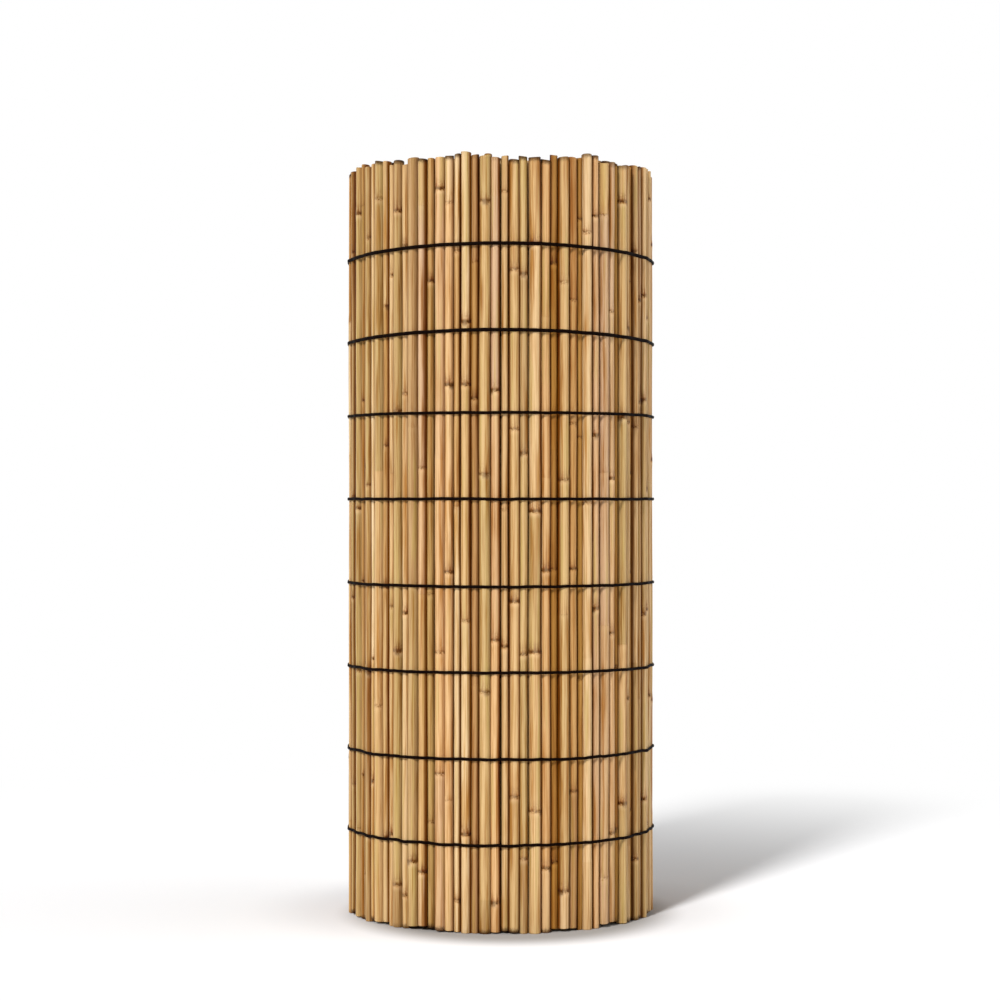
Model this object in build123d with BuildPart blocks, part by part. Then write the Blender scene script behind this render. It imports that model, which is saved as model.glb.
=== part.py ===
from build123d import *

import math
import os
from collections import namedtuple

# A bamboo screening mat, rolled up and standing on the ends of its canes.
# Sizes are in millimetres. The roll is centred on Z and the free edge of the mat is at the back, on +Y.

# The mat
mat_height = 1000.0  # the longest cane, and so the height of the roll
mat_length = 2450.0  # along the ties, when the mat is laid out
cane_thick = 17.0
cane_thin = 9.0
cane_bite = 0.6  # neighbours press this far into each other, which makes the mat one wall
facets_per_quarter = 2  # flat sides in a quarter of a cane's round
top_ragged = 9.0  # the shortest cane stops this far below the longest
foot_ragged = 4.0  # the canes that miss the floor hang up to this far above it
cut_run = 3  # neighbours trimmed at one stroke end at one level

# The roll
roll_width = 415.0  # across its sides, over the thickest canes

# The ties
tie_count = 8
tie_width = 4.0  # along the canes
tie_depth = 2.0  # out from the canes
tie_seat = 0.2  # clearance over the crests that carry a tie
tie_margin = 115.0  # from each end of the mat to the middle of the nearest tie

# Steps that mix thick with thin canes and long with short ones, without a repeat along the mat
size_step = 0.618034
top_step = 0.754878
foot_step = 0.569840

# Each turn lies on the ties of the turn inside it. The spiral's axis stands off the middle of the
# roll by a quarter of its pitch each way, because the mat draws in as it goes round
turn_pitch = cane_thick + tie_depth + 2 * tie_seat
start_radius = (roll_width + turn_pitch - cane_thick) / 2
spiral_axis = Vector(turn_pitch / 4, -turn_pitch / 4)
quarter_turn = math.pi / 2

Cane = namedtuple("Cane", "centre outward along swept radius foot top")


def mixed(index, step):
    return index * step % 1


def spiral_radius(swept):
    return start_radius - turn_pitch * swept / (2 * math.pi)


# Canes stand side by side along the spiral, from the free edge at the back inwards
def lay_canes():
    canes = []
    swept = 0.0
    laid = 0.0
    while laid < mat_length:
        index = len(canes)
        radius = (cane_thin + (cane_thick - cane_thin) * mixed(index, size_step)) / 2
        if canes:
            stride = canes[-1].radius + radius - cane_bite
            swept += stride / spiral_radius(swept)
            laid += stride
        outward = Vector(0, 1).rotate(Axis.Z, math.degrees(swept))
        trim = index // cut_run
        cane = Cane(
            centre=spiral_axis + outward * spiral_radius(swept),
            outward=outward,
            along=outward.rotate(Axis.Z, math.degrees(quarter_turn)),
            swept=swept,
            radius=radius,
            foot=foot_ragged * max(0, 2 * mixed(trim, foot_step) - 1),
            top=mat_height - top_ragged * mixed(trim, top_step),
        )
        canes.append(cane)
    return canes


def cane_stick(cane):
    foot_plane = Plane(cane.centre + Vector(0, 0, cane.foot), x_dir=cane.outward)
    with BuildPart() as stick:
        with BuildSketch(foot_plane):
            RegularPolygon(cane.radius, 4 * facets_per_quarter)
        extrude(amount=cane.top - cane.foot)
    return stick.part


def crest(cane, proud=0):
    return cane.centre + cane.outward * (cane.radius + proud)


def rise(here, there):
    run = crest(there) - crest(here)
    return run.dot(here.outward) / run.dot(here.along)


# A tie is taut: from each crest it runs straight to the one ahead that stands most proud
def taut_seats(canes):
    seats = [canes[0]]
    while seats[-1] is not canes[-1]:
        here = seats[-1]
        ahead = [cane for cane in canes if 0 < cane.swept - here.swept < quarter_turn]
        seats.append(max(ahead, key=lambda cane: rise(here, cane)))
    return seats


os.makedirs("parts", exist_ok=True)

canes = lay_canes()
sticks = [cane_stick(cane) for cane in canes]

with BuildPart() as cane_mat:
    add(sticks)

cane_mat.part.label = "cane_mat"
export_step(cane_mat.part, "parts/cane_mat.step")

seats = taut_seats(canes)
inner_side = [crest(cane, tie_seat) for cane in seats]
outer_side = [crest(cane, tie_seat + tie_depth) for cane in seats]
tie_pitch = (mat_height - 2 * tie_margin) / (tie_count - 1)

for number in range(1, tie_count + 1):
    tie_level = tie_margin + (number - 1) * tie_pitch
    with BuildPart() as tie_wire:
        with BuildSketch(Plane.XY.offset(tie_level - tie_width / 2)):
            with BuildLine():
                Polyline(*inner_side, *reversed(outer_side), close=True)
            make_face()
        extrude(amount=tie_width)
    tie_wire.part.label = f"tie_wire_{number}"
    export_step(tie_wire.part, f"parts/tie_wire_{number}.step")
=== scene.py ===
import math
import random

import bpy
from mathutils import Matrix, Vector


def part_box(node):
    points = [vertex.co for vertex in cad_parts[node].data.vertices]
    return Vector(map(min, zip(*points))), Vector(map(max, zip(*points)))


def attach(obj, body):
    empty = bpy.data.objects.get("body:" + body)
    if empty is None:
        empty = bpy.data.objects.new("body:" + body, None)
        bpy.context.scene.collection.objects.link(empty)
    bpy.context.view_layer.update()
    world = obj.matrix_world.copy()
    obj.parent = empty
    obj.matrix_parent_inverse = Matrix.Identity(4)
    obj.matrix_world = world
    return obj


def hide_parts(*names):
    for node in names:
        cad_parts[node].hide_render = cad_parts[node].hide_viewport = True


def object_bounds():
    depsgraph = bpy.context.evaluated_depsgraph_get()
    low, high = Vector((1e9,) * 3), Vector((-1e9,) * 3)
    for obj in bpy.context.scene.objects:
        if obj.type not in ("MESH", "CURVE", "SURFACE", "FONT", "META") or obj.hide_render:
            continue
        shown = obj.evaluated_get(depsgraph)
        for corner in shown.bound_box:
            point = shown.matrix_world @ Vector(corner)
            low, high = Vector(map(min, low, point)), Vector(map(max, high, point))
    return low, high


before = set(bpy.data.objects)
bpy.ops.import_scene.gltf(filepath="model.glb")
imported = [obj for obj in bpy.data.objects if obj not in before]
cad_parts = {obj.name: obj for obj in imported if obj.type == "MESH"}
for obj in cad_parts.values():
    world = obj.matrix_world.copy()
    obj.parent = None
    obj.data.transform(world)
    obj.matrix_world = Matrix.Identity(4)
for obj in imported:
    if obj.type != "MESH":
        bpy.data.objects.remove(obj)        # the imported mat, one fixed body named root
cadLow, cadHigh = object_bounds()
matLow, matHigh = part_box("cane_mat")
print("frame loaded, box", [round(side, 4) for side in cadHigh - cadLow])


# Node helpers, for geometry and shader trees alike

def newNode(tree, kind, feeds=None, **settings):
    made = tree.nodes.new(kind)
    for key, value in settings.items():
        setattr(made, key, value)
    for name, value in (feeds or {}).items():
        if isinstance(value, bpy.types.NodeSocket):
            tree.links.new(value, made.inputs[name])
        else:
            made.inputs[name].default_value = value
    return made


def calc(tree, operation, *terms, clamp=False):
    feeds = dict(enumerate(terms))
    return newNode(tree, "ShaderNodeMath", feeds, operation=operation, use_clamp=clamp).outputs[0]


def times(tree, first, *others):
    for other in others:
        first = calc(tree, "MULTIPLY", first, other)
    return first


def flipped(tree, share):
    return calc(tree, "SUBTRACT", 1.0, share)


def vectorCalc(tree, operation, *terms):
    made = newNode(tree, "ShaderNodeVectorMath", dict(enumerate(terms)), operation=operation)
    return made.outputs["Value" if operation in ("DOT_PRODUCT", "LENGTH") else "Vector"]


def joined(tree, x=0.0, y=0.0, z=0.0):
    return newNode(tree, "ShaderNodeCombineXYZ", {0: x, 1: y, 2: z}).outputs[0]


def parted(tree, vector):
    return newNode(tree, "ShaderNodeSeparateXYZ", {0: vector}).outputs


def scaled(tree, vector, amount):
    return newNode(tree, "ShaderNodeVectorMath", {0: vector, 3: amount}, operation="SCALE").outputs[0]


def ramped(tree, value, low, high):
    feeds = {0: value, 1: low, 2: high, 3: 0.0, 4: 1.0}
    return newNode(tree, "ShaderNodeMapRange", feeds, interpolation_type="SMOOTHSTEP").outputs[0]


def readAttribute(tree, name, kind="FLOAT"):
    return newNode(tree, "GeometryNodeInputNamedAttribute", {"Name": name}, data_type=kind).outputs[0]


def storeAttribute(tree, geometry, name, value, kind="FLOAT"):
    feeds = {"Geometry": geometry, "Name": name, "Value": value}
    return newNode(tree, "GeometryNodeStoreNamedAttribute", feeds, data_type=kind).outputs[0]


def randomShare(tree, number, seed, low=0.0, high=1.0):
    feeds = {2: low, 3: high, "ID": number, "Seed": seed}
    return newNode(tree, "FunctionNodeRandomValue", feeds, data_type="FLOAT").outputs[1]


def picked(tree, index, values):
    switch = newNode(tree, "GeometryNodeIndexSwitch", {0: index}, data_type="FLOAT")
    while len(switch.index_switch_items) < len(values):
        switch.index_switch_items.new()
    for place, value in enumerate(values, start=1):
        if isinstance(value, bpy.types.NodeSocket):
            tree.links.new(value, switch.inputs[place])
        else:
            switch.inputs[place].default_value = value
    return switch.outputs[0]


socketKinds = {int: "NodeSocketInt", float: "NodeSocketFloat", bpy.types.Material: "NodeSocketMaterial"}


def newTree(name, sizes):
    tree = bpy.data.node_groups.new(name, "GeometryNodeTree")
    face = tree.interface
    face.new_socket(name="Geometry", in_out="INPUT", socket_type="NodeSocketGeometry")
    face.new_socket(name="Geometry", in_out="OUTPUT", socket_type="NodeSocketGeometry")
    for label, value in sizes.items():
        face.new_socket(name=label, in_out="INPUT", socket_type=socketKinds[type(value)])
    return tree, tree.nodes.new("NodeGroupInput").outputs


def grown(name, base, tree, sizes):
    # runs the tree on a base mesh and keeps the result as a plain mesh piece
    seedObject = bpy.data.objects.new(name + "Base", base)
    bpy.context.collection.objects.link(seedObject)
    modifier = seedObject.modifiers.new(name, "NODES")
    modifier.node_group = tree
    for socket in tree.interface.items_tree:
        if socket.in_out == "INPUT" and socket.name in sizes:
            modifier[socket.identifier] = sizes[socket.name]
    graph = bpy.context.evaluated_depsgraph_get()
    evaluated = seedObject.evaluated_get(graph)
    mesh = bpy.data.meshes.new_from_object(evaluated, preserve_all_data_layers=True, depsgraph=graph)
    seedObject.modifiers.remove(modifier)
    bpy.data.objects.remove(seedObject)
    mesh.name = name
    piece = bpy.data.objects.new(name, mesh)
    bpy.context.collection.objects.link(piece)
    mesh.calc_loop_triangles()
    print(name, "has", len(mesh.loop_triangles), "triangles")
    return piece


# Materials

def tint(red, green, blue):
    # a screen colour, 0 to 255, as the linear colour that a shader takes
    shares = [level / 255 for level in (red, green, blue)]
    linear = [s / 12.92 if s <= 0.04045 else ((s + 0.055) / 1.055) ** 2.4 for s in shares]
    return (*linear, 1.0)


def mixed(tree, share, first, second, blend="MIX"):
    feeds = {0: share, 6: first, 7: second}
    return newNode(tree, "ShaderNodeMix", feeds, data_type="RGBA", blend_type=blend).outputs[2]


def colourRamp(tree, value, stops):
    ramp = newNode(tree, "ShaderNodeValToRGB", {0: value})
    elements = ramp.color_ramp.elements
    while len(elements) < len(stops):
        elements.new(0.5)
    for element, (place, colour) in zip(elements, stops):
        element.position = place
        element.color = colour
    return ramp.outputs[0]


def surfaceAttribute(tree, name):
    return newNode(tree, "ShaderNodeAttribute", attribute_name=name).outputs["Fac"]


def newMaterial(name):
    material = bpy.data.materials.new(name)
    material.use_nodes = True
    tree = material.node_tree
    return material, tree, tree.nodes["Principled BSDF"]


def finishSurface(tree, shader, colour, relief, height):
    # colour and bump; the relief is the bump's strength and its depth
    tree.links.new(colour, shader.inputs["Base Color"])
    strength, depth = relief
    bump = newNode(tree, "ShaderNodeBump", {"Strength": strength, "Distance": depth, "Height": height})
    tree.links.new(bump.outputs[0], shader.inputs["Normal"])


def surfacePlace(tree):
    return newNode(tree, "ShaderNodeTexCoord").outputs["Object"]


def surfaceNoise(tree, scale, detail):
    feeds = {"Vector": surfacePlace(tree), "Scale": scale, "Detail": detail}
    return newNode(tree, "ShaderNodeTexNoise", feeds).outputs["Fac"]


fibreNoise = {"Detail": 3.0, "Roughness": 0.6}


def makeFibreGroup():
    # long streaks along the canes and broad drifts of tone, shared by the skin and the cut ends
    group = bpy.data.node_groups.new("bambooFibre", "ShaderNodeTree")
    for label in ("Streak Scale", "Streak Stretch", "Drift Scale", "Drift Stretch", "Shift"):
        group.interface.new_socket(name=label, in_out="INPUT", socket_type="NodeSocketFloat")
    for label in ("Streak", "Drift"):
        group.interface.new_socket(name=label, in_out="OUTPUT", socket_type="NodeSocketFloat")
    entry = group.nodes.new("NodeGroupInput").outputs
    place = parted(group, surfacePlace(group))
    height = calc(group, "ADD", place[2], entry["Shift"])
    leave = group.nodes.new("NodeGroupOutput").inputs
    for label in ("Streak", "Drift"):
        along = joined(group, place[0], place[1], times(group, height, entry[label + " Stretch"]))
        feeds = {"Vector": along, "Scale": entry[label + " Scale"], **fibreNoise}
        group.links.new(newNode(group, "ShaderNodeTexNoise", feeds).outputs["Fac"], leave[label])
    return group


def fibre(tree, group, shift, grain):
    made = tree.nodes.new("ShaderNodeGroup")
    made.node_tree = group
    for label, value in grain.items():
        made.inputs[label].default_value = value
    tree.links.new(shift, made.inputs["Shift"])
    return made.outputs


caneFinish = {
    "tones": [(0.00, tint(160, 125, 82)), (0.13, tint(176, 148, 97)), (0.28, tint(191, 155, 106)),
              (0.44, tint(207, 177, 136)), (0.58, tint(200, 158, 109)), (0.72, tint(182, 148, 117)),
              (0.85, tint(184, 144, 87)), (1.00, tint(213, 187, 148))],
    "roughness": 0.4,
    "roughSpread": 0.2,
    "sheen": 0.08,
    "relief": (0.25, 0.0006),
    "grain": {"Streak Scale": 620.0, "Streak Stretch": 0.014, "Drift Scale": 95.0, "Drift Stretch": 0.06},
    "grainShift": 3.7,                      # from cane to cane
    "fleckScale": 420.0,
    "fleckDetail": 2.0,
    # each pair of limits is where a mark starts to show and where it is full
    "streakStain": tint(206, 180, 130),     # stains darken what they lie on
    "streakLimits": (0.42, 0.68),
    "driftGreen": tint(170, 146, 84),
    "greenLimits": (0.54, 0.68),
    "greenShare": 0.5,
    "driftStain": tint(216, 188, 138),
    "brownLimits": (0.5, 0.32),
    # knots; heights are above the knot, in metres
    "knotNear": (0.03, 0.02),
    "knotFray": 0.005,
    "knotBloom": tint(222, 192, 146),
    "bloomFoot": (-0.011, -0.002),
    "bloomTop": (0.001, -0.001),
    "bloomShare": 0.45,
    "knotStain": tint(160, 112, 52),
    "stainFoot": (-0.001, 0.0006),
    "stainTop": (0.018, 0.0),
    "smudgeFleck": 0.5,
    "smudgeLimits": (0.3, 0.6),
    "lineBreaks": 2.2,
    "lineMark": (0.1, 0.4),
    "knotHalo": tint(206, 160, 84),
    "haloWidth": (0.0048, 0.001),
    "knotLine": tint(78, 44, 6),
    "lineWidth": (0.003, 0.0006),
    "scarFoot": (-0.0085, -0.003),
    "scarTop": (0.0018, 0.0),
    "scarSide": (0.7, 0.98),
    "scarMark": (0.3, 0.5),
    "scarShare": 0.75,
    # round the cane, from 1 on its crest to 0 on its flanks
    # painted highlight: the crests of the canes are lightened
    "crestHighlight": tint(222, 192, 148),
    "highlightLimits": (0.86, 1.0),
    "highlightShare": 0.2,
    # painted shade: the flanks darken towards the valleys between canes, more on some flanks than on others
    "valleyShade": tint(140, 96, 4),
    "valleyLimits": (0.94, 0.4),
    "flankLimits": (0.2, 0.75),
    "flankLeast": 0.3,
    "endStain": tint(118, 106, 96),         # greyed ends on some canes
    "endFray": 0.006,
    "greyLimits": (0.45, 0.8),
    "greyReach": (0.0075, 0.001),
    "sunkShade": tint(200, 174, 112),       # painted shade on canes that lie back
    "sunkLimits": (0.0008, 0.0035),
}


def skinRamp(tree, value, limits):
    return ramped(tree, value, *caneFinish[limits])


def fibreColour(tree, grain):
    # the cane's own tone under streaks, green drifts and brown ones
    colour = colourRamp(tree, surfaceAttribute(tree, "caneTone"), caneFinish["tones"])
    streak = skinRamp(tree, grain["Streak"], "streakLimits")
    colour = mixed(tree, streak, colour, caneFinish["streakStain"], "MULTIPLY")
    green = times(tree, skinRamp(tree, grain["Drift"], "greenLimits"), caneFinish["greenShare"])
    colour = mixed(tree, green, colour, caneFinish["driftGreen"])
    brown = skinRamp(tree, grain["Drift"], "brownLimits")
    return mixed(tree, brown, colour, caneFinish["driftStain"], "MULTIPLY")


def knotColour(tree, colour, grain, fleck):
    # a pale bloom under each knot, a stain over it, a broken dark line and a bud scar
    knot = surfaceAttribute(tree, "knotDistance")
    near = skinRamp(tree, surfaceAttribute(tree, "knotGap"), "knotNear")
    mark = times(tree, surfaceAttribute(tree, "knotMark"), near)
    frayed = calc(tree, "MULTIPLY_ADD", fleck, caneFinish["knotFray"], knot)
    bloom = times(tree, skinRamp(tree, knot, "bloomFoot"), skinRamp(tree, frayed, "bloomTop"))
    bloom = times(tree, bloom, mark, caneFinish["bloomShare"])
    colour = mixed(tree, bloom, colour, caneFinish["knotBloom"])
    smudge = calc(tree, "MULTIPLY_ADD", fleck, caneFinish["smudgeFleck"], grain["Streak"])
    stain = times(tree, skinRamp(tree, knot, "stainTop"), skinRamp(tree, frayed, "stainFoot"))
    stain = times(tree, stain, mark, skinRamp(tree, smudge, "smudgeLimits"))
    colour = mixed(tree, stain, colour, caneFinish["knotStain"], "MULTIPLY")
    strength = calc(tree, "MULTIPLY_ADD", fleck, caneFinish["lineBreaks"], mark, clamp=True)
    strength = times(tree, strength, skinRamp(tree, mark, "lineMark"))
    fromLine = calc(tree, "ABSOLUTE", frayed)
    halo = times(tree, skinRamp(tree, fromLine, "haloWidth"), strength)
    colour = mixed(tree, halo, colour, caneFinish["knotHalo"], "MULTIPLY")
    line = times(tree, skinRamp(tree, fromLine, "lineWidth"), strength)
    colour = mixed(tree, line, colour, caneFinish["knotLine"])
    facing = skinRamp(tree, surfaceAttribute(tree, "budFacing"), "scarSide")
    scar = times(tree, skinRamp(tree, frayed, "scarFoot"), skinRamp(tree, frayed, "scarTop"))
    scar = times(tree, scar, facing, skinRamp(tree, mark, "scarMark"), caneFinish["scarShare"])
    return mixed(tree, scar, colour, caneFinish["knotLine"])


def shadeAndGreyColour(tree, colour, fleck):
    # painted highlight on the crests, painted shade on the flanks and on canes further back, and greyed
    # ends
    # painted highlight on the crests
    turned = calc(tree, "ABSOLUTE", surfaceAttribute(tree, "crestFacing"))
    highlight = times(tree, skinRamp(tree, turned, "highlightLimits"), caneFinish["highlightShare"])
    colour = mixed(tree, highlight, colour, caneFinish["crestHighlight"])
    # painted shade on the flanks, towards the valleys
    least = caneFinish["flankLeast"]
    flank = skinRamp(tree, surfaceAttribute(tree, "flankShade"), "flankLimits")
    flank = calc(tree, "MULTIPLY_ADD", flank, 1 - least, least)
    valley = times(tree, skinRamp(tree, turned, "valleyLimits"), flank)
    colour = mixed(tree, valley, colour, caneFinish["valleyShade"], "MULTIPLY")
    endGap = calc(tree, "MULTIPLY_ADD", fleck, caneFinish["endFray"], surfaceAttribute(tree, "endGap"))
    grey = skinRamp(tree, surfaceAttribute(tree, "endGrey"), "greyLimits")
    grey = times(tree, grey, skinRamp(tree, endGap, "greyReach"))
    colour = mixed(tree, grey, colour, caneFinish["endStain"], "MULTIPLY")
    # painted shade on canes that lie back
    sunk = skinRamp(tree, surfaceAttribute(tree, "caneSunk"), "sunkLimits")
    return mixed(tree, sunk, colour, caneFinish["sunkShade"], "MULTIPLY")


def makeCaneSkin(group):
    material, tree, shader = newMaterial("caneSkin")
    shift = times(tree, surfaceAttribute(tree, "caneOrder"), caneFinish["grainShift"])
    grain = fibre(tree, group, shift, caneFinish["grain"])
    fleck = surfaceNoise(tree, caneFinish["fleckScale"], caneFinish["fleckDetail"])
    fleck = calc(tree, "SUBTRACT", fleck, 0.5)
    colour = fibreColour(tree, grain)
    colour = knotColour(tree, colour, grain, fleck)
    colour = shadeAndGreyColour(tree, colour, fleck)
    finishSurface(tree, shader, colour, caneFinish["relief"], grain["Streak"])
    rough = calc(tree, "MULTIPLY_ADD", grain["Streak"], caneFinish["roughSpread"], caneFinish["roughness"])
    tree.links.new(rough, shader.inputs["Roughness"])
    shader.inputs["Specular IOR Level"].default_value = caneFinish["sheen"]
    return material


endFinish = {
    "pith": tint(222, 192, 140),
    "fibreDots": tint(150, 108, 60),
    "dotLimits": (0.45, 0.65),
    "dotShare": 0.7,
    # painted shade deep inside the bore
    "bore": tint(40, 24, 10),
    "roughness": 0.75,
    "relief": (0.4, 0.0004),
    "grain": {"Streak Scale": 1500.0, "Streak Stretch": 1.0, "Drift Scale": 90.0, "Drift Stretch": 1.0},
}


def makeCaneEnd(group):
    material, tree, shader = newMaterial("caneEnd")
    grain = fibre(tree, group, surfaceAttribute(tree, "caneOrder"), endFinish["grain"])
    dots = ramped(tree, grain["Streak"], *endFinish["dotLimits"])
    dotted = times(tree, dots, endFinish["dotShare"])
    colour = mixed(tree, dotted, endFinish["pith"], endFinish["fibreDots"])
    colour = mixed(tree, surfaceAttribute(tree, "boreShade"), colour, endFinish["bore"])
    finishSurface(tree, shader, colour, endFinish["relief"], dots)
    shader.inputs["Roughness"].default_value = endFinish["roughness"]
    return material


tieFinish = {
    "coat": tint(10, 2, 0),
    "worn": tint(18, 7, 3),
    "wornLimits": (0.5, 0.8),
    "scuffScale": 260.0,
    "scuffDetail": 3.0,
    "roughness": 0.55,
    "roughSpread": 0.25,
    "sheen": 0.03,
    "relief": (0.3, 0.0002),
}


def makeTieCoat():
    material, tree, shader = newMaterial("tieCoat")
    scuff = surfaceNoise(tree, tieFinish["scuffScale"], tieFinish["scuffDetail"])
    worn = ramped(tree, scuff, *tieFinish["wornLimits"])
    colour = mixed(tree, worn, tieFinish["coat"], tieFinish["worn"])
    finishSurface(tree, shader, colour, tieFinish["relief"], scuff)
    rough = calc(tree, "MULTIPLY_ADD", scuff, tieFinish["roughSpread"], tieFinish["roughness"])
    tree.links.new(rough, shader.inputs["Roughness"])
    shader.inputs["Specular IOR Level"].default_value = tieFinish["sheen"]
    return material


fibreGroup = makeFibreGroup()
caneSkin = makeCaneSkin(fibreGroup)
caneEnd = makeCaneEnd(fibreGroup)
tieCoat = makeTieCoat()
print("materials made")


# The canes, laid along the roll's spiral from the free edge at the back inwards

mat = {
    "length": 2.45,         # laid out flat
    "rollWidth": 0.415,     # over the thickest canes
    "thick": 0.017,
    "thin": 0.009,
    "bite": 0.0006,
    "turnRoom": 0.0024,     # for a tie between two turns
    "topRagged": 0.009,
    "footRagged": 0.004,
    "cutRun": 3,
    "sizeStep": 0.618034,
    "topStep": 0.754878,
    "footStep": 0.569840,
    "slim": 0.955,          # round canes leave a narrow gap where the flat-sided ones press together
    "slip": 0.0009,         # a cane shifts this far along the mat
    "play": 0.0004,         # room past the thickest cane between the strands of a tie
    "sink": 0.1,            # least share of its own play that a cane lies back by
    "topStray": 0.004,
    "topOver": 0.6,         # share of that stray that may go upwards
    "footStray": 0.002,
    "seed": 7,
}
turnPitch = mat["thick"] + mat["turnRoom"]
startRadius = (mat["rollWidth"] + turnPitch - mat["thick"]) / 2
spiralAxis = Vector((turnPitch / 4, -turnPitch / 4, 0.0))


def spread(index, step):
    return index * step % 1


def spiralRadius(swept):
    return startRadius - turnPitch * swept / (2 * math.pi)


def layCanes():
    chance = random.Random(mat["seed"])
    canes = []
    swept = laid = 0.0
    while laid < mat["length"]:
        index = len(canes)
        radius = (mat["thin"] + (mat["thick"] - mat["thin"]) * spread(index, mat["sizeStep"])) / 2
        if canes:
            stride = canes[-1]["radius"] + radius - mat["bite"]
            swept += stride / spiralRadius(swept)
            laid += stride
        outward = Vector((-math.sin(swept), math.cos(swept), 0.0))
        trim = index // mat["cutRun"]
        foot = mat["footRagged"] * max(0.0, 2 * spread(trim, mat["footStep"]) - 1)
        top = matHigh.z - mat["topRagged"] * spread(trim, mat["topStep"])
        along = Vector((-outward.y, outward.x, 0.0))
        play = mat["thick"] / 2 - radius + mat["play"]
        slip = along * chance.uniform(-1, 1) * mat["slip"]
        sunk = chance.uniform(mat["sink"], 1) * play
        canes.append({
            "centre": spiralAxis + outward * (spiralRadius(swept) - sunk) + slip,
            "outward": outward,
            "along": along,
            "swept": swept,
            "radius": radius,
            "girth": radius * mat["slim"],
            "sunk": sunk,
            "foot": foot + (chance.random() * mat["footStray"] if foot else 0.0),
            "top": top + chance.uniform(-1, mat["topOver"]) * mat["topStray"],
        })
    return canes


caneShape = {
    "Sides": 16,
    "Joints": 4,
    "Rings Per Joint": 12,
    "Joint Jitter": 0.75,
    "Ring Crowding": 2.4,       # packs the rings towards the knots
    "Knot Swell": 0.05,
    "Knot Width": 0.0055,
    "Least Swell": 0.25,        # added to the mark of each knot, which runs from 0 to 1
    "Knot Pinch": 0.03,
    "Pinch Place": 2.2,         # above the knot, in knot widths
    "Pinch Tightness": 0.7,
    "Taper": 0.05,
    "Bend": 0.0016,
    "Bend Scale": 3.2,
    "Bend Step": 7.31,          # through the noise, from cane to cane
    "Rim": 0.0007,
    "Bore Share": 0.44,
    "Bore Depth": 0.018,
    "Mouth Shade": 0.25,
    "Cut Tilt": 0.16,
    "Joint Tone": 0.22,         # how far the tone strays from joint to joint
    "Shade Lean": 0.1,          # how far the painted shade in the valleys leans to one side
    "Weld": 0.000001,
    "Sharp Angle": 0.6,
    "Seed": 11,
    "Skin": caneSkin,
    "Cut End": caneEnd,
}
endRings = 4                # rings that close each end: bore floor, bore wall, bore mouth, rim
knotsPerCane = 16.0         # numbers kept free for the knots of one cane
otherSide = 1000.0          # sets the two flanks, and the two ends, of a cane apart
drawFrom = {                # where each set of random values starts
    "knotPlace": 0.0,
    "knotMark": 5000.0,
    "tiltX": 7000.0,
    "tiltY": 8000.0,
    "caneTone": 9000.0,
    "flankShade": 11000.0,
    "endGrey": 14000.0,
    "budTurn": 14000.0,
    "partTone": 30000.0,
}


def drawn(tree, size, name, number, low=0.0, high=1.0):
    return randomShare(tree, calc(tree, "ADD", number, drawFrom[name]), size["Seed"], low, high)


def knotNumber(tree, number, index):
    return calc(tree, "MULTIPLY_ADD", number, knotsPerCane, index)


def caneTubes(tree, size, lastRing):
    # a plain tube for each cane, with its rings numbered from the foot up
    feeds = {"Vertices": size["Sides"], "Side Segments": lastRing, "Radius": 1.0, "Depth": 1.0}
    tube = newNode(tree, "GeometryNodeMeshCylinder", feeds, fill_type="NONE").outputs["Mesh"]
    local = parted(tree, newNode(tree, "GeometryNodeInputPosition").outputs[0])
    ring = calc(tree, "ROUND", times(tree, calc(tree, "ADD", local[2], 0.5), lastRing))
    tube = storeAttribute(tree, tube, "ring", ring)
    tube = storeAttribute(tree, tube, "roundDir", joined(tree, local[0], local[1]), "FLOAT_VECTOR")
    placed = newNode(tree, "GeometryNodeInstanceOnPoints", {"Points": size["Geometry"], "Instance": tube})
    return newNode(tree, "GeometryNodeRealizeInstances", {"Geometry": placed.outputs[0]}).outputs[0]


def knotPlace(tree, size, number, joint):
    stray = drawn(tree, size, "knotPlace", knotNumber(tree, number, joint), -0.5, 0.5)
    stray = times(tree, stray, size["Joint Jitter"])
    middle = calc(tree, "ADD", calc(tree, "ADD", joint, 0.5), stray)
    return calc(tree, "DIVIDE", middle, size["Joints"])


def jointOfRing(tree, size, number, share):
    # the joint that a ring is in, the place of its knot and the way from there to the ring, as shares
    # of the cane's length, with the rings crowded towards the knot
    inJoints = times(tree, share, size["Joints"])
    topJoint = calc(tree, "SUBTRACT", size["Joints"], 1.0)
    joint = calc(tree, "MINIMUM", calc(tree, "FLOOR", inJoints), topJoint)
    swing = calc(tree, "MULTIPLY_ADD", calc(tree, "SUBTRACT", inJoints, joint), 2.0, -1.0)
    knot = knotPlace(tree, size, number, joint)
    under = knotPlace(tree, size, number, calc(tree, "SUBTRACT", joint, 1.0))
    over = knotPlace(tree, size, number, calc(tree, "ADD", joint, 1.0))
    isFirst = calc(tree, "LESS_THAN", joint, 0.5)
    isLast = calc(tree, "GREATER_THAN", joint, calc(tree, "SUBTRACT", topJoint, 0.5))
    lowEnd = times(tree, calc(tree, "ADD", knot, under), 0.5, flipped(tree, isFirst))
    highEnd = times(tree, calc(tree, "ADD", knot, over), 0.5, flipped(tree, isLast))
    highEnd = calc(tree, "ADD", highEnd, isLast)
    isUp = calc(tree, "GREATER_THAN", swing, 0.0)
    upReach = times(tree, calc(tree, "SUBTRACT", highEnd, knot), isUp)
    downReach = times(tree, calc(tree, "SUBTRACT", lowEnd, knot), flipped(tree, isUp))
    crowd = calc(tree, "POWER", calc(tree, "ABSOLUTE", swing), size["Ring Crowding"])
    return joint, knot, times(tree, calc(tree, "ADD", upReach, downReach), crowd)


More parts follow.
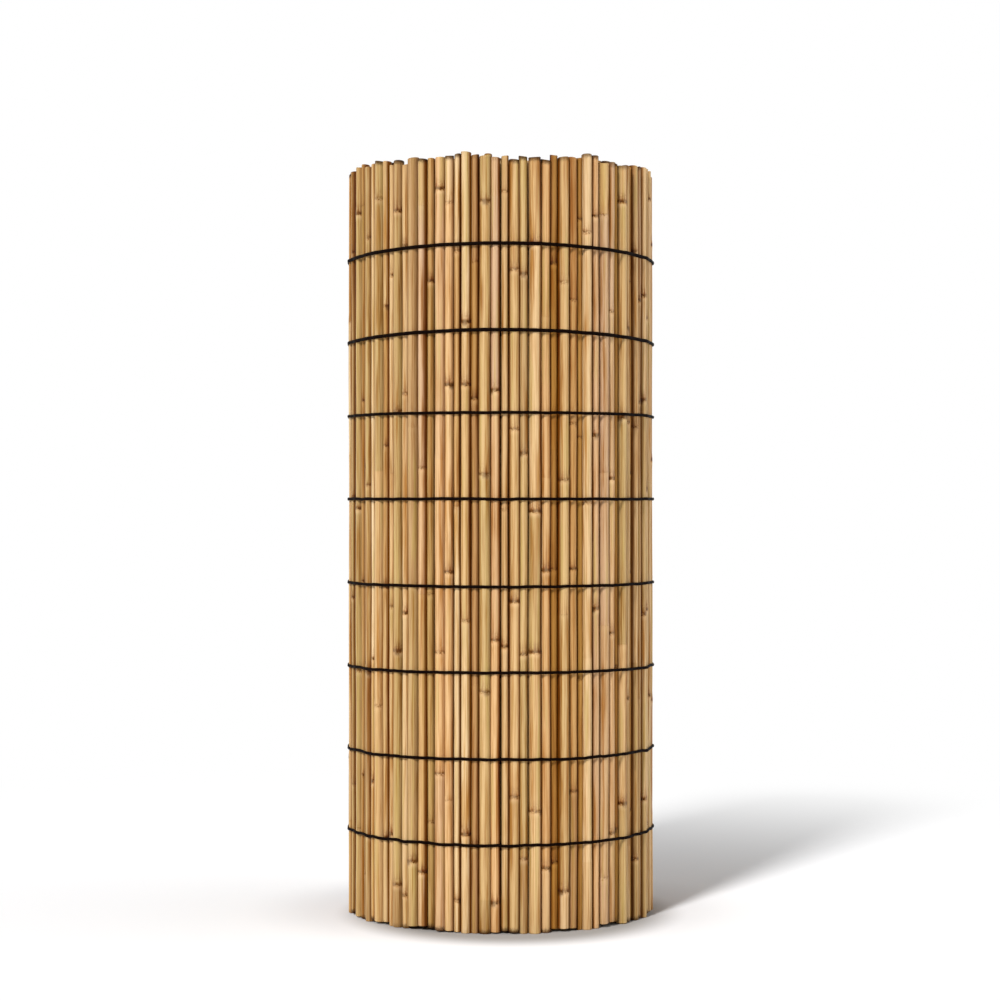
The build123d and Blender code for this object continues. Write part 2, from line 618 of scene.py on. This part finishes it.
def endForm(tree, size, ring, lastRing, radius):
    # a bevelled rim round a shallow bore: the width, depth and shade of each ring at an end
    fromEnd = calc(tree, "MINIMUM", ring, calc(tree, "SUBTRACT", lastRing, ring))
    step = calc(tree, "MINIMUM", fromEnd, float(endRings))
    rim = flipped(tree, calc(tree, "DIVIDE", size["Rim"], radius))
    bore = size["Bore Share"]
    deep = size["Bore Depth"]
    isEnd = calc(tree, "LESS_THAN", step, endRings - 0.5)
    width = picked(tree, step, [0.0, bore, bore, rim, 1.0])
    drop = picked(tree, step, [deep, deep, 0.0, 0.0, size["Rim"]])
    shade = picked(tree, step, [1.0, 1.0, size["Mouth Shade"], 0.0, 0.0])
    return isEnd, width, drop, shade


def ringHeight(tree, size, stem, length, isTop, isEnd, drop):
    foot = times(tree, drop, flipped(tree, isTop))
    top = times(tree, calc(tree, "SUBTRACT", length, drop), isTop)
    clear = calc(tree, "SUBTRACT", length, times(tree, size["Rim"], 2.0))
    body = calc(tree, "MULTIPLY_ADD", stem, clear, size["Rim"])
    body = times(tree, body, flipped(tree, isEnd))
    return calc(tree, "MULTIPLY_ADD", calc(tree, "ADD", foot, top), isEnd, body)


def stemGirth(tree, size, stem, knotDistance, knotMark):
    # a ridge at each knot with a slight waist above it, and a gentle taper
    near = calc(tree, "DIVIDE", knotDistance, size["Knot Width"])
    ridge = calc(tree, "EXPONENT", times(tree, near, near, -1.0))
    past = calc(tree, "SUBTRACT", near, size["Pinch Place"])
    waist = calc(tree, "EXPONENT", times(tree, past, past, size["Pinch Tightness"], -1.0))
    swell = times(tree, ridge, size["Knot Swell"], calc(tree, "ADD", knotMark, size["Least Swell"]))
    pinch = times(tree, waist, size["Knot Pinch"])
    girth = calc(tree, "SUBTRACT", calc(tree, "ADD", swell, 1.0), pinch)
    lean = times(tree, calc(tree, "SUBTRACT", 0.5, stem), size["Taper"])
    return calc(tree, "ADD", girth, lean)


def slowBend(tree, size, height, number):
    route = joined(tree, times(tree, height, size["Bend Scale"]), times(tree, number, size["Bend Step"]))
    feeds = {"Vector": route, "Scale": 1.0, "Detail": 1.0}
    noise = newNode(tree, "ShaderNodeTexNoise", feeds).outputs["Color"]
    noise = vectorCalc(tree, "SUBTRACT", noise, (0.5, 0.5, 0.5))
    level = vectorCalc(tree, "MULTIPLY", noise, (1.0, 1.0, 0.0))
    return scaled(tree, level, times(tree, size["Bend"], 2.0))


def topCut(tree, size, number, share, out):
    # how far a cut that isn't quite square lifts or lowers the rings of the top end
    tiltX = drawn(tree, size, "tiltX", number, -1.0)
    tiltY = drawn(tree, size, "tiltY", number, -1.0)
    slope = vectorCalc(tree, "DOT_PRODUCT", out, joined(tree, tiltX, tiltY))
    belowTop = 0.9999           # only the rings of the top end lie past this share
    atTop = calc(tree, "GREATER_THAN", share, belowTop)
    return times(tree, slope, times(tree, atTop, size["Cut Tilt"]))


def toneOfRing(tree, size, number, joint, fromKnot):
    internode = calc(tree, "ADD", joint, calc(tree, "GREATER_THAN", fromKnot, 0.0))
    part = drawn(tree, size, "partTone", knotNumber(tree, number, internode), -0.5, 0.5)
    own = drawn(tree, size, "caneTone", number)
    return calc(tree, "MULTIPLY_ADD", part, size["Joint Tone"], own, clamp=True)


def sideMarks(tree, size, number, roundDir, outward):
    # how far each point faces out from the roll, and how strongly painted shade darkens its flank of the
    # cane
    aside = vectorCalc(tree, "CROSS_PRODUCT", (0.0, 0.0, 1.0), outward)
    aside = scaled(tree, aside, size["Shade Lean"])
    bright = vectorCalc(tree, "NORMALIZE", vectorCalc(tree, "SUBTRACT", outward, aside))
    side = calc(tree, "GREATER_THAN", vectorCalc(tree, "DOT_PRODUCT", roundDir, aside), 0.0)
    flank = calc(tree, "MULTIPLY_ADD", side, otherSide, number)
    return vectorCalc(tree, "DOT_PRODUCT", roundDir, bright), drawn(tree, size, "flankShade", flank)


def budFacing(tree, size, knot, roundDir):
    turn = times(tree, drawn(tree, size, "budTurn", knot), 2 * math.pi)
    side = joined(tree, calc(tree, "COSINE", turn), calc(tree, "SINE", turn))
    return vectorCalc(tree, "DOT_PRODUCT", roundDir, side)


def dressCanes(tree, size, canes):
    # smooth sides, sharp rims, and a material for the skin and one for the cut ends
    feeds = {"Geometry": canes, "Distance": size["Weld"]}
    canes = newNode(tree, "GeometryNodeMergeByDistance", feeds).outputs[0]
    angle = newNode(tree, "GeometryNodeInputMeshEdgeAngle").outputs[0]
    feeds = {0: angle, 1: size["Sharp Angle"]}
    sharp = newNode(tree, "FunctionNodeCompare", feeds, operation="GREATER_THAN").outputs[0]
    feeds = {"Geometry": canes, "Shade Smooth": True}
    canes = newNode(tree, "GeometryNodeSetShadeSmooth", feeds).outputs[0]
    feeds = {"Geometry": canes, "Selection": sharp, "Shade Smooth": False}
    canes = newNode(tree, "GeometryNodeSetShadeSmooth", feeds, domain="EDGE").outputs[0]
    feeds = {"Geometry": canes, "Material": size["Skin"]}
    canes = newNode(tree, "GeometryNodeSetMaterial", feeds).outputs[0]
    wholeFace = 0.9             # a face is a cut one where all its corners are
    feeds = {0: readAttribute(tree, "cutFace"), 1: wholeFace}
    isCut = newNode(tree, "FunctionNodeCompare", feeds, operation="GREATER_THAN").outputs[0]
    feeds = {"Geometry": canes, "Selection": isCut, "Material": size["Cut End"]}
    return newNode(tree, "GeometryNodeSetMaterial", feeds).outputs[0]


def makeCaneTree():
    tree, size = newTree("bambooCanes", caneShape)
    jointRings = times(tree, size["Joints"], size["Rings Per Joint"])
    lastRing = calc(tree, "ADD", jointRings, 2 * endRings)
    canes = caneTubes(tree, size, lastRing)

    ring = readAttribute(tree, "ring")
    roundDir = readAttribute(tree, "roundDir", "FLOAT_VECTOR")
    place = readAttribute(tree, "canePlace", "FLOAT_VECTOR")
    outward = readAttribute(tree, "caneOutward", "FLOAT_VECTOR")
    radius = readAttribute(tree, "caneRadius")
    length = readAttribute(tree, "caneLength")
    number = readAttribute(tree, "caneNumber")

    share = calc(tree, "DIVIDE", calc(tree, "SUBTRACT", ring, float(endRings)), jointRings, clamp=True)
    joint, knotHere, fromKnot = jointOfRing(tree, size, number, share)
    stem = calc(tree, "ADD", knotHere, fromKnot)
    knotDistance = times(tree, fromKnot, length)
    knot = knotNumber(tree, number, joint)
    knotMark = drawn(tree, size, "knotMark", knot)

    isTop = calc(tree, "GREATER_THAN", share, 0.5)
    isEnd, endWidth, endDrop, boreShade = endForm(tree, size, ring, lastRing, radius)
    height = ringHeight(tree, size, stem, length, isTop, isEnd, endDrop)
    girth = stemGirth(tree, size, stem, knotDistance, knotMark)
    out = scaled(tree, roundDir, times(tree, radius, endWidth, girth))
    up = joined(tree, z=calc(tree, "ADD", height, topCut(tree, size, number, share, out)))
    middle = vectorCalc(tree, "ADD", place, slowBend(tree, size, height, number))
    point = vectorCalc(tree, "ADD", middle, vectorCalc(tree, "ADD", out, up))

    # what the materials read, stored before the points move
    facing, flankShade = sideMarks(tree, size, number, roundDir, outward)
    end = calc(tree, "MULTIPLY_ADD", isTop, otherSide, number)
    marks = {
        "knotDistance": knotDistance,
        "knotGap": calc(tree, "ABSOLUTE", knotDistance),        # has no zero half way between two knots
        "knotMark": knotMark,
        "budFacing": budFacing(tree, size, knot, roundDir),
        "caneTone": toneOfRing(tree, size, number, joint, fromKnot),
        "caneOrder": number,
        "crestFacing": facing,
        "flankShade": flankShade,
        "endGap": calc(tree, "MINIMUM", height, calc(tree, "SUBTRACT", length, height)),
        "endGrey": drawn(tree, size, "endGrey", end),
        "cutFace": isEnd,
        "boreShade": boreShade,
    }
    for name, value in marks.items():
        canes = storeAttribute(tree, canes, name, value)
    canes = newNode(tree, "GeometryNodeSetPosition", {"Geometry": canes, "Position": point}).outputs[0]
    tree.links.new(dressCanes(tree, size, canes), tree.nodes.new("NodeGroupOutput").inputs[0])
    return tree


def canePoints(name, canes, first):
    mesh = bpy.data.meshes.new(name)
    places = [cane["centre"] + Vector((0, 0, cane["foot"])) for cane in canes]
    mesh.from_pydata(places, [], [])
    columns = {
        "caneRadius": [cane["girth"] for cane in canes],
        "caneLength": [cane["top"] - cane["foot"] for cane in canes],
        "caneNumber": [float(first + order) for order in range(len(canes))],
        "caneSunk": [cane["sunk"] for cane in canes],
    }
    for label, values in columns.items():
        mesh.attributes.new(label, "FLOAT", "POINT").data.foreach_set("value", values)
    for label, vectors in (("canePlace", places), ("caneOutward", [cane["outward"] for cane in canes])):
        flat = [value for vector in vectors for value in vector]
        mesh.attributes.new(label, "FLOAT_VECTOR", "POINT").data.foreach_set("vector", flat)
    return mesh


def finishPiece(piece, slot, *nodes):
    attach(piece, "root")
    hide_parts(*nodes)


canes = layCanes()
caneTree = makeCaneTree()
outerCount = sum(1 for cane in canes if cane["swept"] < 2 * math.pi)
for name, first, last in (("outerTurnCanes", 0, outerCount), ("innerTurnCanes", outerCount, len(canes))):
    base = canePoints(name + "Points", canes[first:last], first)
    finishPiece(grown(name, base, caneTree, caneShape), "bamboo", "cane_mat")
print("canes laid:", len(canes), "of which in the outer turn:", outerCount)


# The ties: a coated wire over the front of the canes, round the free edge and back behind them,
# closed round the last cane

tieShape = {
    "Step": 0.004,
    "Sides": 12,
    "Height": 0.0039,
    "Depth": 0.0022,
    "Wobble": 0.0016,           # of the lowest tie
    "Wobble Scale": 30.0,
    "Wobble Detail": 3.0,
    "Wobble Roughness": 0.6,
    "Seed": 3,
    "Coat": tieCoat,
}
tieRoute = {
    "snug": 0.2,            # how far a tie is drawn down on canes that it would bridge
    "standOff": 0.0011,     # of its middle from the crests
    "backDrop": 0.0052,     # the strand behind the canes runs this much lower
    "calm": 0.0002,         # wobble of the highest tie
    # from the lowest tie up: added height, lift off the even spacing and sag at the sides
    "thicken": (0.0, 0.0, 0.0, 0.0, 0.0, 0.0, 0.0007, 0.0007),
    "lift": (-0.0019, -0.0022, -0.0012, -0.0014, 0.0009, 0.0013, -0.0028, -0.0024),
    "sag": (-0.001, 0.0005, 0.0013, -0.0005, 0.0, -0.0005, 0.0075, 0.0075),
}


def crest(cane):
    return cane["centre"] + cane["outward"] * cane["girth"]


def rise(here, there):
    run = crest(there) - crest(here)
    return run.dot(here["outward"]) / run.dot(here["along"])


def tautSeats(canes):
    seats = [0]
    while seats[-1] < len(canes) - 1:
        here = canes[seats[-1]]
        ahead = [i for i, cane in enumerate(canes) if 0 < cane["swept"] - here["swept"] < math.pi / 2]
        seats.append(max(ahead, key=lambda i: rise(here, canes[i])))
    return seats


def frontLine(canes):
    # a taut line from seat to seat, drawn part of the way down on the thinner canes
    points = []
    seats = tautSeats(canes)
    for start, stop in zip(seats, seats[1:]):
        seat = crest(canes[start])
        chord = crest(canes[stop]) - seat
        off = seat - spiralAxis
        for cane in canes[start:stop]:
            ray = cane["outward"]
            taut = (off.x * chord.y - off.y * chord.x) / (ray.x * chord.y - ray.y * chord.x)
            rest = (crest(cane) - spiralAxis).length
            reach = taut + (rest - taut) * tieRoute["snug"] + tieRoute["standOff"]
            points.append(spiralAxis + ray * reach)
    points.append(crest(canes[-1]) + canes[-1]["outward"] * tieRoute["standOff"])
    return points


def backLine(canes):
    drop = Vector((0, 0, -tieRoute["backDrop"]))
    reach = tieRoute["standOff"]
    return [cane["centre"] - cane["outward"] * (cane["girth"] + reach) + drop for cane in canes]


def edgeTurn(cane, way):
    # where a tie turns back round the cane at an edge of the mat
    drop = Vector((0, 0, -tieRoute["backDrop"] / 2))
    return cane["centre"] + cane["along"] * way * (cane["girth"] + tieRoute["standOff"]) + drop


def tieLine(name, level, sag):
    points = [edgeTurn(canes[-1], 1), *reversed(frontLine(canes))]
    points += [edgeTurn(canes[0], -1), *backLine(canes), edgeTurn(canes[-1], 1)]
    for point in points:
        point.z += level - sag * (point.x / startRadius) ** 2
    mesh = bpy.data.meshes.new(name)
    mesh.from_pydata(points, [(i, i + 1) for i in range(len(points) - 1)], [])
    return mesh


def makeTieTree():
    tree, size = newTree("tieWire", tieShape)
    line = newNode(tree, "GeometryNodeMeshToCurve", {"Mesh": size["Geometry"]}).outputs[0]
    feeds = {"Curve": line, "Length": size["Step"]}
    line = newNode(tree, "GeometryNodeResampleCurve", feeds, mode="LENGTH").outputs[0]
    here = newNode(tree, "GeometryNodeInputPosition").outputs[0]
    feeds = {"Vector": here, "W": size["Seed"], "Scale": size["Wobble Scale"],
             "Detail": size["Wobble Detail"], "Roughness": size["Wobble Roughness"]}
    noise = newNode(tree, "ShaderNodeTexNoise", feeds, noise_dimensions="4D").outputs["Fac"]
    # the noise strays by about a quarter each way
    lift = times(tree, calc(tree, "SUBTRACT", noise, 0.5), times(tree, size["Wobble"], 4.0))
    stray = joined(tree, z=lift)
    line = newNode(tree, "GeometryNodeSetPosition", {"Geometry": line, "Offset": stray}).outputs[0]
    line = newNode(tree, "GeometryNodeSetCurveNormal", {"Curve": line}, mode="Z_UP").outputs[0]
    feeds = {"Resolution": size["Sides"], "Radius": 0.5}
    profile = newNode(tree, "GeometryNodeCurvePrimitiveCircle", feeds).outputs[0]
    flat = joined(tree, size["Depth"], size["Height"], 1.0)
    profile = newNode(tree, "GeometryNodeTransform", {"Geometry": profile, "Scale": flat}).outputs[0]
    feeds = {"Curve": line, "Profile Curve": profile, "Fill Caps": True}
    cord = newNode(tree, "GeometryNodeCurveToMesh", feeds).outputs[0]
    cord = newNode(tree, "GeometryNodeSetShadeSmooth", {"Geometry": cord, "Shade Smooth": True}).outputs[0]
    cord = newNode(tree, "GeometryNodeRealizeInstances", {"Geometry": cord}).outputs[0]
    cord = newNode(tree, "GeometryNodeSetMaterial", {"Geometry": cord, "Material": size["Coat"]}).outputs[0]
    tree.links.new(cord, tree.nodes.new("NodeGroupOutput").inputs[0])
    return tree


tieNodes = sorted(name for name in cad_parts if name.startswith("tie_wire"))
tieTree = makeTieTree()
for order, node in enumerate(tieNodes):
    low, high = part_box(node)
    name = f"tie{order + 1}"
    ease = order / (len(tieNodes) - 1)
    sizes = dict(tieShape)
    sizes["Wobble"] += (tieRoute["calm"] - tieShape["Wobble"]) * ease
    sizes["Height"] += tieRoute["thicken"][order]
    sizes["Seed"] += order
    level = (low.z + high.z) / 2 + tieRoute["lift"][order]
    line = tieLine(name + "Line", level, tieRoute["sag"][order])
    finishPiece(grown(name, line, tieTree, sizes), "tie", node)
print("ties wound:", len(tieNodes))


# Floor, light and camera

white = tint(255, 255, 255)
black = tint(0, 0, 0)
studio = {
    "floorSize": 30.0,
    "floorRoughness": 0.9,
    "floorColour": tint(253, 253, 254),
    "contactColour": tint(236, 236, 238),       # a soft shade close round the foot of the roll
    "contactNear": 0.2,
    "contactFar": 0.36,
    "footColour": tint(164, 161, 158),          # and a darker one, closer still and mostly at the front
    "footShift": Vector((-0.014, 0.03, 0.0)),
    "footStretch": Vector((1.18, 1.0, 1.0)),
    "footNear": 0.2,
    "footFar": 0.285,
    "nearFloor": 0.3,       # from this far out the floor goes over into the white of the backdrop
    "farFloor": 1.8,
    "skyFill": 0.09,
    "sideFill": 1.36,       # more of the sky's light comes from the left and the right
    "sideLean": 0.42,       # and most of it from the right
    "keyAim": Vector((0.359, 0.736, -0.574)),
    "keyDistance": 4.0,
    "keyPower": 3.56,
    "keySoftness": math.radians(9),
    "fillFrom": Vector((1.3, -2.9, 1.2)),
    "fillSize": 1.6,
    "fillPower": 2.0,
    "sideFrom": Vector((2.7, -0.4, 0.5)),       # low, so that it lights the roll more than the floor
    "sideSize": 2.0,
    "sidePower": 4.0,
}
shot = {
    "focalPixels": 2535.0,
    "framePixels": 1000,        # across
    "sensor": 36.0,             # mm across
    "distance": 3.235,          # from the lens to the front of the roll
    "height": 0.5546,
}


def makeFloor():
    half = studio["floorSize"] / 2
    mesh = bpy.data.meshes.new("floor")
    corners = [(-half, -half, 0), (half, -half, 0), (half, half, 0), (-half, half, 0)]
    mesh.from_pydata(corners, [], [(0, 1, 2, 3)])
    floor = bpy.data.objects.new("floor", mesh)
    bpy.context.collection.objects.link(floor)
    material, tree, shader = newMaterial("paleFloor")
    shader.inputs["Roughness"].default_value = studio["floorRoughness"]
    shader.inputs["Specular IOR Level"].default_value = 0.0
    shader.inputs["Emission Color"].default_value = white
    place = surfacePlace(tree)
    out = vectorCalc(tree, "LENGTH", place)
    far = ramped(tree, out, studio["nearFloor"], studio["farFloor"])
    glow = times(tree, far, newNode(tree, "ShaderNodeLightPath").outputs["Is Camera Ray"])
    clear = ramped(tree, out, studio["contactNear"], studio["contactFar"])
    colour = mixed(tree, clear, studio["contactColour"], studio["floorColour"])
    fromFoot = vectorCalc(tree, "ADD", place, studio["footShift"])
    fromFoot = vectorCalc(tree, "LENGTH", vectorCalc(tree, "MULTIPLY", fromFoot, studio["footStretch"]))
    free = ramped(tree, fromFoot, studio["footNear"], studio["footFar"])
    colour = mixed(tree, free, studio["footColour"], colour)
    tree.links.new(mixed(tree, glow, colour, black), shader.inputs["Base Color"])
    tree.links.new(glow, shader.inputs["Emission Strength"])
    mesh.materials.append(material)


def makeWorld():
    world = bpy.data.worlds.new("studioWorld")
    bpy.context.scene.world = world
    world.use_nodes = True
    tree = world.node_tree
    path = newNode(tree, "ShaderNodeLightPath").outputs
    seen = calc(tree, "MAXIMUM", path["Is Camera Ray"],
                calc(tree, "MAXIMUM", path["Is Glossy Ray"], path["Is Transmission Ray"]))
    look = newNode(tree, "ShaderNodeTexCoord").outputs["Generated"]
    across = parted(tree, look)[0]
    lean = calc(tree, "MULTIPLY_ADD", across, studio["sideLean"], 1.0)
    aside = times(tree, across, across, lean)
    sky = calc(tree, "MULTIPLY_ADD", aside, studio["sideFill"], studio["skyFill"])
    strength = calc(tree, "MAXIMUM", seen, sky)
    back = tree.nodes["Background"]
    back.inputs["Color"].default_value = white
    tree.links.new(strength, back.inputs["Strength"])


def makeLamp(name, kind, power, origin, aim):
    data = bpy.data.lights.new(name, kind)
    data.energy = power
    lamp = bpy.data.objects.new(name, data)
    lamp.location = origin
    lamp.rotation_euler = aim.to_track_quat("-Z", "Y").to_euler()
    bpy.context.collection.objects.link(lamp)
    return data


def makeLights():
    middle = Vector((0.0, 0.0, (cadLow.z + cadHigh.z) / 2))
    aim = studio["keyAim"]
    key = makeLamp("keyLamp", "SUN", studio["keyPower"], aim * -studio["keyDistance"], aim)
    key.angle = studio["keySoftness"]
    for name in ("fill", "side"):
        origin = studio[name + "From"]
        lamp = makeLamp(name + "Lamp", "AREA", studio[name + "Power"], origin, middle - origin)
        lamp.size = studio[name + "Size"]


def makeCamera():
    data = bpy.data.cameras.new("camera")
    data.sensor_width = shot["sensor"]
    data.lens = shot["focalPixels"] / shot["framePixels"] * shot["sensor"]
    camera = bpy.data.objects.new("camera", data)
    camera.location = (0.0, matLow.y - shot["distance"], shot["height"])
    camera.rotation_euler = (math.pi / 2, 0.0, 0.0)
    bpy.context.collection.objects.link(camera)
    bpy.context.scene.camera = camera


makeFloor()
makeWorld()
makeLights()
makeCamera()
bpy.context.scene.view_settings.view_transform = "Standard"
print("studio set")
